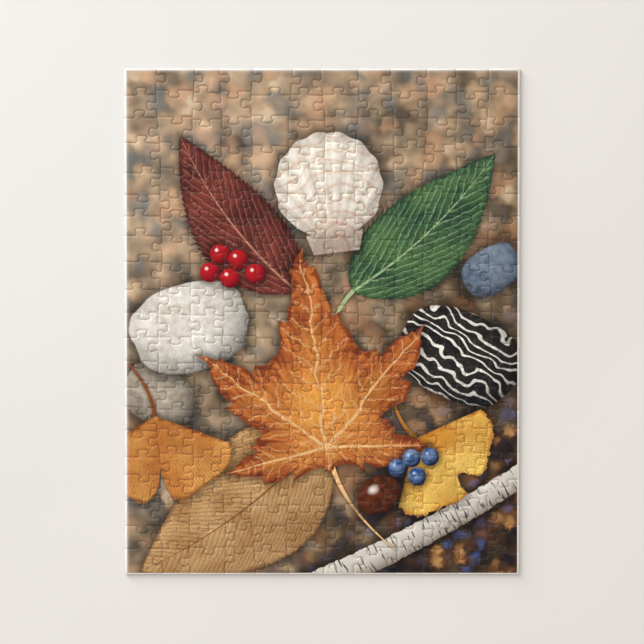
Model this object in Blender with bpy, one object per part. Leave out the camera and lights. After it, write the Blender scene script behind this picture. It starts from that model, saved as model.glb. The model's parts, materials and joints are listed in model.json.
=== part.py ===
"""Jigsaw puzzle, assembled, lying flat with its printed side up.

A sheet of greyboard is die-cut into 12 columns by 21 rows of interlocking pieces. Each object here is a
block of 2 x 3 neighbouring pieces. Blocks are parted along the real cuts, knobs and all.

Metres, +Z up. The origin is the middle of the underside, +Y points to the top edge of the picture and
+X to its right edge.
"""

import math
import random

import bpy
from mathutils import Vector

MM = 0.001

SHEET_WIDTH = 278 * MM
SHEET_HEIGHT = 356 * MM
THICKNESS = 2 * MM
GAP = 0.3 * MM  # between neighbouring blocks

# Widths of the columns from left to right and heights of the rows from top to bottom, in millimetres
# before they are fitted to the sheet.
COLUMN_WIDTHS = (24.5, 22.8, 21.8, 21.8, 25.3, 23.5, 23.5, 26.4, 21.8, 23.2, 21.4, 21.8)
ROW_HEIGHTS = (
    *(17.2, 17.6, 18.6, 17.9, 15.8, 15.8, 15.8, 16.9, 18.3, 17.6, 16.9),
    *(16.5, 17.2, 16.2, 15.5, 17.2, 15.8, 18.3, 14.4, 17.9, 17.6),
)
COLUMNS = len(COLUMN_WIDTHS)
ROWS = len(ROW_HEIGHTS)
BLOCK_COLUMNS = 2
BLOCK_ROWS = 3

# The vertical cuts run from top to bottom in two slow waves, each an amplitude and a length.
WAVES = ((1.7 * MM, 230 * MM), (0.8 * MM, 74 * MM))
# Each column has its own horizontal cuts, so that a row steps up or down at every vertical cut.
ROW_STEP = 2.0 * MM
ROW_SLANT = 0.4 * MM

# Half of a knob's outline, as distances across and out from its foot. The whole die is stretched
# across the sheet and squeezed up it, so knobs to the side are slim and long, and the others broad.
KNOB_HALF = ((2.5 * MM, 0.3 * MM), (3.5 * MM, 3.7 * MM), (2.5 * MM, 5.9 * MM))
KNOB_HEAD = 3.5 * MM  # from the cut to the middle of the knob's head
KNOB_STRETCH = Vector((1.13, 0.88))
KNOB_SHIFT = 0.13  # how far a foot may lie off the middle of its cut, as a share of the cut
KNOB_SPACING = 8.4 * MM  # least distance between the middles of two heads, before the stretch
KNOB_LEAN = 7.0  # degrees
KNOB_TRIES = 60

SEED = 242  # with this one, every knob finds a clear place


# ---------------------------------------------------------------- the cutting plan


def unstretched(offset):
    """An offset on the sheet, as it was before the die was stretched."""
    return Vector((offset.x / KNOB_STRETCH.x, offset.y / KNOB_STRETCH.y))


def lines_of(shares, length):
    """Where the lines between the shares lie, from one end of the length to the other."""
    fit = length / sum(shares)
    return [sum(shares[:count]) * fit - length / 2 for count in range(len(shares) + 1)]


class CuttingPlan:
    """Every cut of the die: the ends of each row's cut in each column, and the knob on each cut."""

    def __init__(self):
        self.draw = random.Random(SEED)
        # The sheet is planned larger by one gap, which every block's outline then loses again.
        self.column_lines = lines_of(COLUMN_WIDTHS, SHEET_WIDTH + GAP)
        self.row_lines = [-y for y in lines_of(ROW_HEIGHTS, SHEET_HEIGHT + GAP)]
        self.phases = [[self.draw.uniform(0, math.tau) for _ in WAVES] for _ in self.column_lines]
        self.ends = {
            (column, line): self.row_ends(column, line)
            for line in range(ROWS + 1)
            for column in range(COLUMNS)
        }
        self.heads = []
        self.knobs = {}
        for row in range(ROWS):
            for line in range(1, COLUMNS):
                self.knobs["down", line, row] = self.knob(*self.side_span(line, row))
            if row < ROWS - 1:
                for column in range(COLUMNS):
                    self.knobs["across", column, row + 1] = self.knob(*self.ends[column, row + 1])

    def on_line(self, line, height):
        """The point at this height on a vertical cut, or on a side of the sheet."""
        across = self.column_lines[line]
        if 0 < line < COLUMNS:
            for (amplitude, length), phase in zip(WAVES, self.phases[line]):
                across += amplitude * math.sin(math.tau * height / length + phase)
        return Vector((across, height))

    def row_ends(self, column, line):
        """The left and the right end of a horizontal cut in its column."""
        height = self.row_lines[line]
        slant = 0.0
        if 0 < line < ROWS:
            height += self.draw.uniform(-ROW_STEP, ROW_STEP)
            slant = self.draw.uniform(-ROW_SLANT, ROW_SLANT)
        return self.on_line(column, height - slant), self.on_line(column + 1, height + slant)

    def junction(self, line, row_line):
        """The points of a vertical cut where the horizontal cuts of the columns beside it meet it."""
        return self.ends[line - 1, row_line][1], self.ends[line, row_line][0]

    def side_span(self, line, row):
        """The stretch of a vertical cut that is free of junctions in this row, from top to bottom."""
        upper = min(self.junction(line, row), key=lambda point: point.y)
        lower = max(self.junction(line, row + 1), key=lambda point: point.y)
        return upper, lower

    def knob(self, start, end):
        """A knob on the cut from start to end, drawn again until its head clears all the others."""
        along = (end - start).normalized()
        out = Vector((-along.y, along.x))
        for _ in range(KNOB_TRIES):
            foot = start.lerp(end, 0.5 + self.draw.uniform(-KNOB_SHIFT, KNOB_SHIFT))
            side = self.draw.choice((-1, 1))
            lean = math.radians(self.draw.uniform(-KNOB_LEAN, KNOB_LEAN))
            head = foot + out * side * KNOB_HEAD * KNOB_STRETCH
            if all(unstretched(head - other).length > KNOB_SPACING for other in self.heads):
                break
        self.heads.append(head)
        axis = out * side * math.cos(lean) + along * math.sin(lean)
        return foot, along, axis

    def knob_points(self, kind, line, place):
        """The knob's outline, in the direction of its cut."""
        foot, along, axis = self.knobs[kind, line, place]
        rising = [axis * out - along * across for across, out in KNOB_HALF]
        falling = [axis * out + along * across for across, out in reversed(KNOB_HALF)]
        return [foot + offset * KNOB_STRETCH for offset in rising + falling]

    def side_points(self, line, top, bottom, own):
        """A vertical cut from one row line to a lower one, for the column left (own 0) or right of it."""
        start, beside_start = self.junction(line, top)[own], self.junction(line, top)[1 - own]
        end, beside_end = self.junction(line, bottom)[own], self.junction(line, bottom)[1 - own]
        points = [start]
        # The other column's cuts may meet this stretch a little inside its ends.
        if beside_start.y < start.y:
            points.append(beside_start)
        for row in range(top, bottom):
            points += self.knob_points("down", line, row)
        if beside_end.y > end.y:
            points.append(beside_end)
        return [*points, end]

    def row_points(self, line, left, right):
        """A horizontal cut from one vertical line to another, with its step at each line between."""
        points = []
        for column in range(left, right):
            start, end = self.ends[column, line]
            knob = self.knob_points("across", column, line) if 0 < line < ROWS else []
            points += [start, *knob, end]
        return points

    def block_outline(self, left, right, top, bottom):
        """The outline of the pieces between these lines, clockwise from the upper left corner."""
        outline = self.row_points(top, left, right)
        if right < COLUMNS:
            outline += self.side_points(right, top, bottom, own=0)
        outline += reversed(self.row_points(bottom, left, right))
        if left > 0:
            outline += reversed(self.side_points(left, top, bottom, own=1))
        return without_repeats(outline)


# ---------------------------------------------------------------- outlines

LEAST_STEP = 0.02 * MM  # points closer than this are one


def without_repeats(outline):
    """The outline with each point that lies on the one before it, or on a straight edge, left out."""
    distinct = [p for i, p in enumerate(outline) if (p - outline[i - 1]).length > LEAST_STEP]
    kept = []
    for i, point in enumerate(distinct):
        before = point - distinct[i - 1]
        after = distinct[(i + 1) % len(distinct)] - point
        if abs(before.cross(after)) > LEAST_STEP / 2 * max(before.length, after.length):
            kept.append(point)
    return kept


def inset(outline, distance):
    """A clockwise outline with every edge moved inwards by the distance."""
    moved = []
    for i, point in enumerate(outline):
        before = (point - outline[i - 1]).normalized()
        after = (outline[(i + 1) % len(outline)] - point).normalized()
        inward = Vector((before.y, -before.x)) + Vector((after.y, -after.x))
        # Along the mean of two edge normals, so that both edges move by the full distance.
        moved.append(point + inward * (2 * distance / inward.length_squared))
    return moved


# ---------------------------------------------------------------- finishes

# Base colours of the print, linear, by what the picture shows there.
PRINT_COLORS = {
    "gravel": (0.31, 0.215, 0.135),
    "rust": (0.41, 0.125, 0.035),
    "maroon": (0.125, 0.030, 0.024),
    "green": (0.040, 0.115, 0.055),
    "cream": (0.62, 0.56, 0.46),
    "slate": (0.075, 0.070, 0.085),
}
PRINT_ROUGHNESS = 0.38

# The picture's main masses: name, middle across and up from the sheet's middle, and radius.
MASSES = (
    ("rust", 0 * MM, -32 * MM, 58 * MM),
    ("green", 70 * MM, 66 * MM, 38 * MM),
    ("maroon", -46 * MM, 74 * MM, 38 * MM),
    ("cream", -98 * MM, -6 * MM, 34 * MM),
    ("slate", 92 * MM, -140 * MM, 52 * MM),
)


def print_name(middle):
    """What the picture mostly shows at this point of the sheet."""
    for name, across, up, radius in MASSES:
        if (middle - Vector((across, up))).length < radius:
            return name
    return "gravel"


def print_material(name):
    """The laminated print in one of its colours."""
    material = bpy.data.materials.new(f"print_{name}")
    material.use_nodes = True
    shader = material.node_tree.nodes["Principled BSDF"]
    shader.inputs["Base Color"].default_value = (*PRINT_COLORS[name], 1)
    shader.inputs["Roughness"].default_value = PRINT_ROUGHNESS
    shader.inputs["Metallic"].default_value = 0.0
    material.diffuse_color = (*PRINT_COLORS[name], 1)
    return material


# ---------------------------------------------------------------- the blocks


def add_block(name, outline, material, collection):
    """One block of the board, an outline with the board's thickness."""
    curve = bpy.data.curves.new(name, "CURVE")
    curve.dimensions = "2D"
    curve.fill_mode = "BOTH"
    curve.extrude = THICKNESS / 2
    spline = curve.splines.new("POLY")
    spline.points.add(len(outline) - 1)
    for point, place in zip(spline.points, outline):
        point.co = (place.x, place.y, 0, 1)
    spline.use_cyclic_u = True
    curve.materials.append(material)
    block = bpy.data.objects.new(name, curve)
    block.location.z = THICKNESS / 2
    collection.objects.link(block)


def clear_scene():
    """Remove whatever the scene holds."""
    for obj in list(bpy.data.objects):
        bpy.data.objects.remove(obj)


def main():
    """Build the puzzle, block by block from its upper left corner."""
    clear_scene()
    collection = bpy.data.collections.new("jigsaw_puzzle")
    bpy.context.scene.collection.children.link(collection)
    materials = {name: print_material(name) for name in PRINT_COLORS}
    plan = CuttingPlan()
    for block_row, top in enumerate(range(0, ROWS, BLOCK_ROWS), start=1):
        for block_column, left in enumerate(range(0, COLUMNS, BLOCK_COLUMNS), start=1):
            outline = plan.block_outline(left, left + BLOCK_COLUMNS, top, top + BLOCK_ROWS)
            middle = sum(outline, Vector((0, 0))) / len(outline)
            add_block(
                name=f"block_r{block_row}_c{block_column}",
                outline=inset(outline, GAP / 2),
                material=materials[print_name(middle)],
                collection=collection,
            )


main()
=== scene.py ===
"""Looks of the assembled jigsaw puzzle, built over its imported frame.

The sheet lies on a pale table with its printed side up. Every block of the frame is replaced by its six
cut pieces, with rolled die-cut edges and a gap as thin as the rule that cut them. Their finish is a
printed and laminated paper over greyboard. The print is a still life of autumn leaves, berries, stones
and a shell on gravel, worked out as formulas over the sheet, in millimetres from its middle.
"""

import json
import logging
import math
import random
from collections.abc import Callable, Sequence
from dataclasses import dataclass, field
from enum import Enum
from typing import Any

import bmesh
import bpy
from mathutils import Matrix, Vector, geometry, kdtree


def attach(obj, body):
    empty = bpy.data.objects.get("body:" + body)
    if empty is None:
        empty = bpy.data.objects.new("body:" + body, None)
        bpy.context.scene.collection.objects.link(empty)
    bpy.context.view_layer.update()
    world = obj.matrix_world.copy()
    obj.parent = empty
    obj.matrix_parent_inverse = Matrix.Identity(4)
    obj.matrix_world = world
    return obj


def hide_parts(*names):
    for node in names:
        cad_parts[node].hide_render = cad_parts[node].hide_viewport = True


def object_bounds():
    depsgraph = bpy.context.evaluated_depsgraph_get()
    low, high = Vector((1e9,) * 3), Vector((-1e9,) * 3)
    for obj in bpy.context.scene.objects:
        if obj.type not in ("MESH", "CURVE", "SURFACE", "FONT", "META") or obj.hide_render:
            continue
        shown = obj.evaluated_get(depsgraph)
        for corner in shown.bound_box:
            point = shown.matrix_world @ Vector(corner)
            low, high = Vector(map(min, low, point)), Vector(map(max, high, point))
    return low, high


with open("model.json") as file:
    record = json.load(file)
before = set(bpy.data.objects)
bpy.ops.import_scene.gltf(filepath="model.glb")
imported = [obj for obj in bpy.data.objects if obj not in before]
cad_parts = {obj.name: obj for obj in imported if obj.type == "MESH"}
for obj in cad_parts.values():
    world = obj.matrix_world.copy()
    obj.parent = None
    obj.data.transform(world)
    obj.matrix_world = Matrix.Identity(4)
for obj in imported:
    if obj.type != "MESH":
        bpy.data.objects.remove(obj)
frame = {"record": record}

CAD_BOX = [list(corner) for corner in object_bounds()]
MM = 0.001
BODY = "root"
TINY = 0.001 * MM  # points closer than this are one
LIGHT_ANGLE = 135.0  # the light in the picture comes from the upper left; in degrees from +X

log = logging.getLogger("jigsaw")


# ---------------------------------------------------------------- shader maths


class Signal:
    """A value that varies over a surface: a socket whose arithmetic adds Math nodes."""

    def __init__(self, shader: "Shader", socket: bpy.types.NodeSocket) -> None:
        """Wrap a node's output socket.

        Args:
            shader: The shader that the socket belongs to.
            socket: The output socket.
        """
        self.shader = shader
        self.socket = socket

    def __add__(self, other: "Number") -> "Signal":
        """The sum."""
        return self.shader.math("ADD", self, other)

    __radd__ = __add__

    def __sub__(self, other: "Number") -> "Signal":
        """The difference."""
        return self.shader.math("SUBTRACT", self, other)

    def __rsub__(self, other: "Number") -> "Signal":
        """The difference, from a number."""
        return self.shader.math("SUBTRACT", other, self)

    def __mul__(self, other: "Number") -> "Signal":
        """The product."""
        return self.shader.math("MULTIPLY", self, other)

    __rmul__ = __mul__

    def __truediv__(self, other: "Number") -> "Signal":
        """The quotient."""
        return self.shader.math("DIVIDE", self, other)

    def __pow__(self, exponent: "Number") -> "Signal":
        """The power."""
        return self.shader.math("POWER", self, exponent)

    def __abs__(self) -> "Signal":
        """The size without the sign."""
        return self.shader.math("ABSOLUTE", self)

    def times_plus(self, factor: "Number", addend: "Number") -> "Signal":
        """self * factor + addend, in one node."""
        return self.shader.math("MULTIPLY_ADD", self, factor, addend)

    def sine(self) -> "Signal":
        """The sine."""
        return self.shader.math("SINE", self)

    def fraction(self) -> "Signal":
        """What is left above the next lower whole number."""
        return self.shader.math("FRACT", self)

    def least(self, other: "Number") -> "Signal":
        """The lower of the two."""
        return self.shader.math("MINIMUM", self, other)

    def most(self, other: "Number") -> "Signal":
        """The higher of the two."""
        return self.shader.math("MAXIMUM", self, other)

    def clamped(self) -> "Signal":
        """The value kept between 0 and 1."""
        return self.ramp(0.0, 1.0, smooth=False)

    def ramp(self, at_none: float, at_full: float, smooth: bool = True) -> "Signal":
        """A share that goes from 0 to 1.

        Args:
            at_none: The value at which the share is 0.
            at_full: The value at which it is 1, above or below the other.
            smooth: Whether it eases in and out.

        Returns:
            The share.
        """
        settings = {"interpolation_type": "SMOOTHSTEP" if smooth else "LINEAR"}
        inputs = {"Value": self, "From Min": at_none, "From Max": at_full}
        return self.shader.node("ShaderNodeMapRange", inputs, **settings)["Result"]


Number = Signal | float
Color = Signal | tuple[float, float, float]


class Outputs:
    """A node's outputs by name, each as a signal."""

    def __init__(self, shader: "Shader", node: bpy.types.Node) -> None:
        """Keep the node.

        Args:
            shader: The shader that the node belongs to.
            node: The node.
        """
        self.shader = shader
        self.node = node

    def __getitem__(self, key: str | int) -> Signal:
        """The output of that name or number."""
        return Signal(self.shader, self.node.outputs[key])


class Shader:
    """A material's node tree, to which nodes are added in the order of their use."""

    def __init__(self, name: str) -> None:
        """Start an empty material.

        Args:
            name: The material's name.
        """
        self.material = bpy.data.materials.new(name)
        self.material.use_nodes = True
        self.tree = self.material.node_tree
        self.tree.nodes.clear()

    def node(self, kind: str, inputs: dict[str | int, Any] | None = None, **settings: Any) -> Outputs:
        """Add a node.

        Args:
            kind: The node's type.
            inputs: What each input gets, by its name or number: a signal, a number, a colour or a vector.
            settings: The node's own settings. stops are a color ramp's, each a place and a colour.

        Returns:
            The node's outputs.
        """
        node = self.tree.nodes.new(kind)
        for place, (position, color) in enumerate(settings.pop("stops", ())):
            elements = node.color_ramp.elements
            stop = elements[place] if place < 2 else elements.new(position)
            stop.position, stop.color = position, (*color, 1.0)
        for setting, value in settings.items():
            setattr(node, setting, value)
        for key, value in (inputs or {}).items():
            socket = node.inputs[key]
            if isinstance(value, Signal):
                self.tree.links.new(value.socket, socket)
            elif socket.type == "RGBA":
                socket.default_value = (*value, 1.0)
            else:
                socket.default_value = value
        return Outputs(self, node)

    def math(self, operation: str, *values: Number) -> Signal:
        """Add a Math node."""
        return self.node("ShaderNodeMath", dict(enumerate(values)), operation=operation)[0]

    def mix(self, share: Number, first: Color, second: Color) -> Signal:
        """Add a Mix node for colours.

        Args:
            share: How much of the second colour there is.
            first: The colour at a share of 0.
            second: The colour at a share of 1.

        Returns:
            The mixed colour.
        """
        inputs = {0: share, 6: first, 7: second}
        return self.node("ShaderNodeMix", inputs, data_type="RGBA")[2]

    def scaled(self, color: Color, factor: Number) -> Signal:
        """The colour made brighter or darker by a factor."""
        inputs = {0: color, "Scale": factor}
        return self.node("ShaderNodeVectorMath", inputs, operation="SCALE")[0]

    def noise(self, place: Signal, size: float, detail: float = 2.0, rough: float = 0.5) -> Outputs:
        """Add a flat noise.

        Args:
            place: The point, as a vector.
            size: The size of its patches, in the unit of the point.
            detail: How many finer layers it has.
            rough: How strong they are.

        Returns:
            The node's outputs.
        """
        inputs = {"Vector": place, "Scale": 1 / size, "Detail": detail, "Roughness": rough}
        return self.node("ShaderNodeTexNoise", inputs, noise_dimensions="2D")

    def finish(self, **inputs: Any) -> bpy.types.Material:
        """Close the tree with a Principled shader.

        Args:
            inputs: Its inputs, with an underscore for a blank in the name.

        Returns:
            The material.
        """
        named = {key.replace("_", " "): value for key, value in inputs.items()}
        surface = self.node("ShaderNodeBsdfPrincipled", named)["BSDF"]
        self.node("ShaderNodeOutputMaterial", {"Surface": surface})
        return self.material


def paint(code: str) -> tuple[float, float, float]:
    """A colour from its usual six-figure code.

    Args:
        code: Two hexadecimal figures each for red, green and blue, as a screen shows them.

    Returns:
        The colour as a shader takes it, linear.
    """
    shown = [int(code[place : place + 2], 16) / 255 for place in (0, 2, 4)]
    linear = [value / 12.92 if value <= 0.04045 else ((value + 0.055) / 1.055) ** 2.4 for value in shown]
    return linear[0], linear[1], linear[2]


# ---------------------------------------------------------------- the die


class Cut(Enum):
    """The two kinds of cut in the sheet."""

    DOWN = "down"
    ACROSS = "across"


class Side(Enum):
    """A column's side of the vertical cut beside it."""

    LEFT_OF_CUT = 0
    RIGHT_OF_CUT = 1


@dataclass
class Die:
    """The steel rule die: every cut of the sheet, in metres. The frame's blocks follow the same cuts."""

    width: float
    height: float
    column_widths: Sequence[float] = (
        *(24.5, 22.8, 21.8, 21.8, 25.3, 23.5),
        *(23.5, 26.4, 21.8, 23.2, 21.4, 21.8),
    )
    row_heights: Sequence[float] = (
        *(17.2, 17.6, 18.6, 17.9, 15.8, 15.8, 15.8, 16.9, 18.3, 17.6, 16.9),
        *(16.5, 17.2, 16.2, 15.5, 17.2, 15.8, 18.3, 14.4, 17.9, 17.6),
    )
    block_gap: float = 0.3 * MM
    waves: Sequence[tuple[float, float]] = ((1.7 * MM, 230 * MM), (0.8 * MM, 74 * MM))
    row_step: float = 2.0 * MM
    row_slant: float = 0.4 * MM
    knob_head: float = 3.5 * MM
    knob_stretch: Vector = field(default_factory=lambda: Vector((1.13, 0.88)))
    knob_shift: float = 0.13
    knob_spacing: float = 8.4 * MM
    knob_lean: float = 7.0
    knob_tries: int = 60
    seed: int = 242
    # Half of a knob's outline, across and out from its foot, from the shoulder to the top.
    knob_half: Sequence[tuple[float, float]] = (
        *((4.0, 0.0), (3.28, 0.19), (2.74, 0.73), (2.55, 1.45), (2.67, 2.1)),
        *((3.04, 2.85), (3.36, 3.8), (3.22, 4.85), (2.45, 5.65), (1.27, 5.98), (0.0, 6.05)),
    )
    knob_steps: int = 2
    corner_clearance: float = 1.2 * MM
    knob_room: float = 9.2 * MM

    def __post_init__(self) -> None:
        """Draw the cuts, in the order in which the frame's blocks were drawn."""
        self.draw = random.Random(self.seed)
        self.column_lines = self.lines_of(self.column_widths, self.width + self.block_gap)
        self.row_lines = [-y for y in self.lines_of(self.row_heights, self.height + self.block_gap)]
        self.columns, self.rows = len(self.column_widths), len(self.row_heights)
        self.phases = [[self.draw.uniform(0, math.tau) for _ in self.waves] for _ in self.column_lines]
        self.ends = {
            (column, line): self.row_ends(column, line)
            for line in range(self.rows + 1)
            for column in range(self.columns)
        }
        self.heads: list[Vector] = []
        self.knobs: dict[tuple[Cut, int, int], tuple[Vector, Vector, Vector]] = {}
        for row in range(self.rows):
            for line in range(1, self.columns):
                self.knobs[Cut.DOWN, line, row] = self.knob(*self.side_span(line, row))
            if row < self.rows - 1:
                for column in range(self.columns):
                    self.knobs[Cut.ACROSS, column, row + 1] = self.knob(*self.ends[column, row + 1])
        self.knob_sizes = {
            place: min(1.0, self.nearest_head(head) / self.knob_room)
            for place, head in zip(self.knobs, self.heads)
        }

    @staticmethod
    def lines_of(shares: Sequence[float], length: float) -> list[float]:
        """Where the lines between columns or rows lie.

        Args:
            shares: Their sizes, in any unit.
            length: What they fill.

        Returns:
            The lines from one end to the other, with the middle at 0.
        """
        fit = length / sum(shares)
        return [sum(shares[:count]) * fit - length / 2 for count in range(len(shares) + 1)]

    def on_line(self, line: int, height: float) -> Vector:
        """The point at a height on a vertical cut, or on a side of the sheet.

        Args:
            line: The cut's number from the left, 0 for the sheet's side.
            height: How far up it is.

        Returns:
            The point.
        """
        across = self.column_lines[line]
        if 0 < line < self.columns:
            for (amplitude, length), phase in zip(self.waves, self.phases[line]):
                across += amplitude * math.sin(math.tau * height / length + phase)
        return Vector((across, height))

    def row_ends(self, column: int, line: int) -> tuple[Vector, Vector]:
        """Draw the ends of a horizontal cut.

        Args:
            column: The column that it crosses.
            line: Its number from the top, 0 for the sheet's edge.

        Returns:
            Its left and its right end.
        """
        height = self.row_lines[line]
        slant = 0.0
        if 0 < line < self.rows:
            height += self.draw.uniform(-self.row_step, self.row_step)
            slant = self.draw.uniform(-self.row_slant, self.row_slant)
        return self.on_line(column, height - slant), self.on_line(column + 1, height + slant)

    def junction(self, line: int, row_line: int) -> tuple[Vector, Vector]:
        """Where the horizontal cuts beside a vertical one meet it, from its left and from its right."""
        return self.ends[line - 1, row_line][1], self.ends[line, row_line][0]

    def side_span(self, line: int, row: int) -> tuple[Vector, Vector]:
        """The stretch of a vertical cut in one row that no other cut meets, from top to bottom."""
        upper = min(self.junction(line, row), key=lambda point: point.y)
        lower = max(self.junction(line, row + 1), key=lambda point: point.y)
        return upper, lower

    def knob(self, start: Vector, end: Vector) -> tuple[Vector, Vector, Vector]:
        """Draw a knob, again and again until its head clears all the others.

        Args:
            start: Where its cut starts.
            end: Where its cut ends.

        Returns:
            The middle of its foot, the direction of its cut and the direction that it points in.
        """
        along = (end - start).normalized()
        out = Vector((-along.y, along.x))
        for _ in range(self.knob_tries):
            foot = start.lerp(end, 0.5 + self.draw.uniform(-self.knob_shift, self.knob_shift))
            side = self.draw.choice((-1, 1))
            lean = math.radians(self.draw.uniform(-self.knob_lean, self.knob_lean))
            head = foot + out * side * self.knob_head * self.knob_stretch
            if all(self.unstretched(head - other).length > self.knob_spacing for other in self.heads):
                break
        self.heads.append(head)
        axis = out * side * math.cos(lean) + along * math.sin(lean)
        return foot, along, axis

    def nearest_head(self, head: Vector) -> float:
        """How far the nearest other knob's head is from this one, before the stretch."""
        return min(self.unstretched(head - other).length for other in self.heads if other is not head)

    def unstretched(self, offset: Vector) -> Vector:
        """An offset on the sheet, as it was before the die was stretched."""
        return Vector((offset.x / self.knob_stretch.x, offset.y / self.knob_stretch.y))

    def half_outline(self) -> list[tuple[float, float]]:
        """The rounded half of a knob.

        Returns:
            Points across and out, in metres, from the shoulder to the top.
        """
        points = [Vector(point) * MM for point in self.knob_half]
        # The curve leaves along the shoulder and reaches the top level, as its mirror image does.
        before = points[0] + (points[0] - points[1]) * Vector((1, 0))
        after = points[-2] * Vector((-1, 1))
        points = [before, *points, after]
        curve = []
        for i in range(1, len(points) - 2):
            for step in range(self.knob_steps):
                curve.append(spline_point(points[i - 1 : i + 3], step / self.knob_steps))
        return [*((point.x, point.y) for point in curve), tuple(points[-2])]

    def knob_points(self, kind: Cut, line: int, place: int) -> list[Vector]:
        """A knob's outline.

        Args:
            kind: The kind of its cut.
            line: The vertical cut's number, or the column that a horizontal cut crosses.
            place: The row, or the horizontal cut's number.

        Returns:
            Its points in the direction of its cut.
        """
        foot, along, axis = self.knobs[kind, line, place]
        stretch = self.knob_stretch * self.knob_sizes[kind, line, place]
        half = self.half_outline()
        rising = [axis * out - along * across for across, out in half]
        falling = [axis * out + along * across for across, out in reversed(half[:-1])]
        return [foot + offset * stretch for offset in rising + falling]

    def side_points(self, line: int, row: int, side: Side) -> list[Vector]:
        """A piece's edge along a vertical cut, from top to bottom.

        Args:
            line: The cut's number.
            row: The piece's row.
            side: The side of the cut that the piece is on.

        Returns:
            The edge's points.
        """
        own, far = side.value, 1 - side.value
        start, beside_start = self.junction(line, row)[own], self.junction(line, row)[far]
        end, beside_end = self.junction(line, row + 1)[own], self.junction(line, row + 1)[far]
        points = [start]
        if beside_start.y < start.y - self.corner_clearance:
            points.append(beside_start)
        points += self.knob_points(Cut.DOWN, line, row)
        if beside_end.y > end.y + self.corner_clearance:
            points.append(beside_end)
        return [*points, end]

    def row_points(self, line: int, column: int) -> list[Vector]:
        """A piece's edge along a horizontal cut or an edge of the sheet, from left to right."""
        start, end = self.ends[column, line]
        knob = self.knob_points(Cut.ACROSS, column, line) if 0 < line < self.rows else []
        return [start, *knob, end]

    def piece(self, column: int, row: int, margin: float) -> list[Vector]:
        """One piece's outline, clockwise from its upper left corner.

        Args:
            column: Its column.
            row: Its row.
            margin: How far the outline lies inside the middle of the cuts.

        Returns:
            The outline's points.
        """
        outline = self.row_points(row, column)
        if column + 1 < self.columns:
            outline += self.side_points(column + 1, row, Side.LEFT_OF_CUT)
        outline += reversed(self.row_points(row + 1, column))
        if column > 0:
            outline += reversed(self.side_points(column, row, Side.RIGHT_OF_CUT))
        shrunk = inset(without_repeats(outline), margin)
        limit = Vector((self.width / 2, self.height / 2))
        return [Vector((clamp(p.x, limit.x), clamp(p.y, limit.y))) for p in shrunk]


def clamp(value: float, limit: float) -> float:
    """The value kept between minus the limit and the limit."""
    return max(-limit, min(limit, value))


def spline_point(points: Sequence[Vector], share: float) -> Vector:
    """A point on the smooth curve through the middle two of four points.

    Args:
        points: The four points.
        share: How far it is from the second to the third.

    Returns:
        The point.
    """
    before, start, end, after = points
    pull = (end - before) * share
    bend = (before * 2 - start * 5 + end * 4 - after) * share**2
    twist = (start * 3 - before - end * 3 + after) * share**3
    return start + (pull + bend + twist) / 2


def without_repeats(outline: Sequence[Vector], least: float = 0.02 * MM) -> list[Vector]:
    """The outline with each point left out that lies on the one before it."""
    return [p for i, p in enumerate(outline) if (p - outline[i - 1]).length > least]


def subdivided(outline: Sequence[Vector], step: float) -> list[Vector]:
    """The outline with its long edges divided into equal ones, none of them shorter than the step."""
    points = []
    for i, point in enumerate(outline):
        following = outline[(i + 1) % len(outline)]
        count = max(1, int((following - point).length / step))
        points += [point.lerp(following, part / count) for part in range(count)]
    return points


def inset(outline: Sequence[Vector], distance: float) -> list[Vector]:
    """Move every edge of a clockwise outline inwards.

    Args:
        outline: The outline's points.
        distance: How far the edges move.

    Returns:
        The new points.
    """
    moved = []
    for i, point in enumerate(outline):
        before = (point - outline[i - 1]).normalized()
        after = (outline[(i + 1) % len(outline)] - point).normalized()
        inward = Vector((before.y, -before.x)) + Vector((after.y, -after.x))
        moved.append(point + inward * (2 * distance / inward.length_squared))
    return moved


# ---------------------------------------------------------------- the pieces


@dataclass(frozen=True)
class EdgeProfile:
    """How a piece's edge runs: a small burr below, a straight wall, a rolled edge and a crown.

    Each step of the rolled edge and of the crown says how far in and how far up it goes.
    """

    thickness: float
    burr: float = 0.15 * MM
    roll: Sequence[tuple[float, float]] = (
        (0.06 * MM, 0.090 * MM),
        (0.10 * MM, 0.090 * MM),
        (0.16 * MM, 0.090 * MM),
        (0.24 * MM, 0.090 * MM),
    )
    crown: Sequence[tuple[float, float]] = (
        (0.32 * MM, 0.092 * MM),
        (0.42 * MM, 0.078 * MM),
        (0.56 * MM, 0.050 * MM),
    )

    @property
    def shoulder(self) -> float:
        """The height at which the straight wall ends and the rolled edge begins."""
        return self.thickness - sum(rise for _, rise in (*self.roll, *self.crown))


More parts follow.
